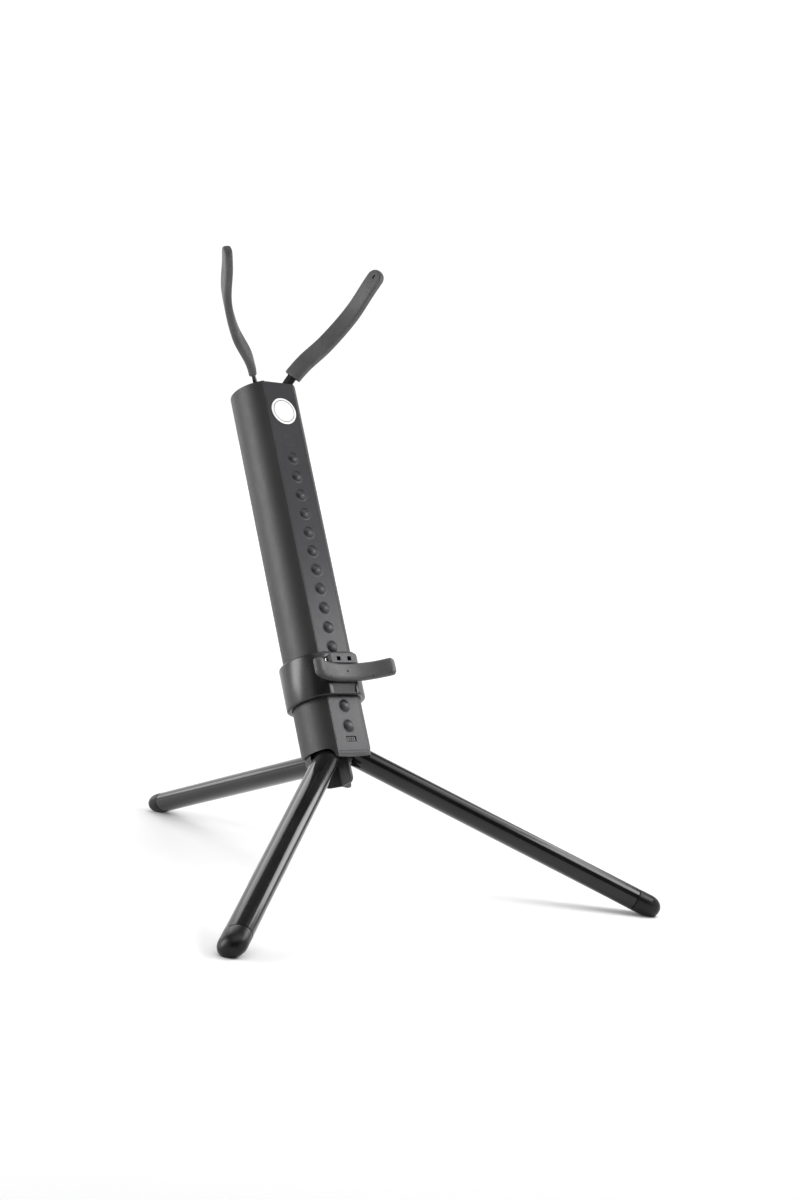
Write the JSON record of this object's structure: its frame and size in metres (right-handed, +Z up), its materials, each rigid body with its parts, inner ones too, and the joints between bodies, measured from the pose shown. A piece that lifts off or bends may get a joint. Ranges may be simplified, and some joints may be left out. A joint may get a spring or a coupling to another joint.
{
  "type": "folding saxophone stand",
  "caption": "Leaning black saxophone stand: folding tripod, padded yoke on a sliding collar, and two padded bell arms at the top.",
  "frame": {"origin": "on the floor, in the middle of the stand's bounding box", "axes": "+Z up; the front face looks towards -Y and leans back towards +Y; +X is to the right seen from the front"},
  "size_m": [0.4764, 0.5214, 0.5759],
  "materials": {
    "body_black": "satin moulded black",
    "rack_black": "finely textured black",
    "inner_black": "matt moulded black",
    "leg_black": "gloss black enamel",
    "foot_rubber": "smooth satin black rubber",
    "pad_rubber": "matt dark grey rubber",
    "black_steel": "blackened steel strip",
    "bright_steel": "plain steel",
    "badge_white": "glossy white printed disc, plain"
  },
  "bodies": {
    "stem": {"stem_shell": "body_black", "height_rack": "rack_black", "badge_disc": "badge_white", "top_plug": "inner_black", "arm_pin_left": "bright_steel", "arm_pin_right": "bright_steel", "leg_carriage": "inner_black", "latch_rivet": "bright_steel", "leg_pin_left": "bright_steel", "leg_pin_right": "bright_steel", "leg_pin_rear": "bright_steel"},
    "leg_left": {"leg_tube_left": "leg_black", "leg_plug_left": "inner_black", "foot_cap_left": "foot_rubber"},
    "leg_right": {"leg_tube_right": "leg_black", "leg_plug_right": "inner_black", "foot_cap_right": "foot_rubber"},
    "leg_rear": {"leg_tube_rear": "leg_black", "leg_plug_rear": "inner_black", "foot_cap_rear": "foot_rubber"},
    "arm_left": {"arm_strip_left": "black_steel", "arm_sleeve_left": "pad_rubber"},
    "arm_right": {"arm_strip_right": "black_steel", "arm_sleeve_right": "pad_rubber"},
    "support": {"slide_collar": "body_black", "detent_spring": "bright_steel", "yoke_bar": "inner_black", "yoke_pad": "pad_rubber", "yoke_screw_left": "bright_steel", "yoke_screw_right": "bright_steel"},
    "latch": {"release_latch": "inner_black"}
  },
  "joints": [
    {"name": "leg_left_fold", "type": "hinge", "parent": "stem", "child": "leg_left", "pos_m": [-0.01327, -0.05918, 0.11943], "axis": [0.4664, -0.775, 0.4265], "range_deg": [0, 52.1]},
    {"name": "leg_right_fold", "type": "hinge", "parent": "stem", "child": "leg_right", "pos_m": [0.01327, -0.05918, 0.11943], "axis": [0.4664, 0.775, -0.4265], "range_deg": [0, 52.1]},
    {"name": "leg_rear_fold", "type": "hinge", "parent": "stem", "child": "leg_rear", "pos_m": [0, -0.03991, 0.10882], "axis": [-1, 0, 0], "range_deg": [0, 99.8]},
    {"name": "arm_left_fold", "type": "hinge", "parent": "stem", "child": "arm_left", "pos_m": [-0.0122, 0.11068, 0.43493], "axis": [-0.6561, 0.6612, -0.3639], "range_deg": [0, 28]},
    {"name": "arm_right_fold", "type": "hinge", "parent": "stem", "child": "arm_right", "pos_m": [0.0122, 0.11068, 0.43493], "axis": [-0.6561, -0.6612, 0.3639], "range_deg": [0, 28]},
    {"name": "support_slide", "type": "slide", "parent": "stem", "child": "support", "axis": [0, 0.4821, 0.8761], "range_m": [-0.01934, 0.21274]},
    {"name": "latch_press", "type": "hinge", "parent": "stem", "child": "latch", "pos_m": [0, -0.06293, 0.1458], "axis": [1, 0, 0], "range_deg": [0, 8], "stiffness_Nm_per_rad": 0.3, "springref_deg": -2.86}
  ]
}
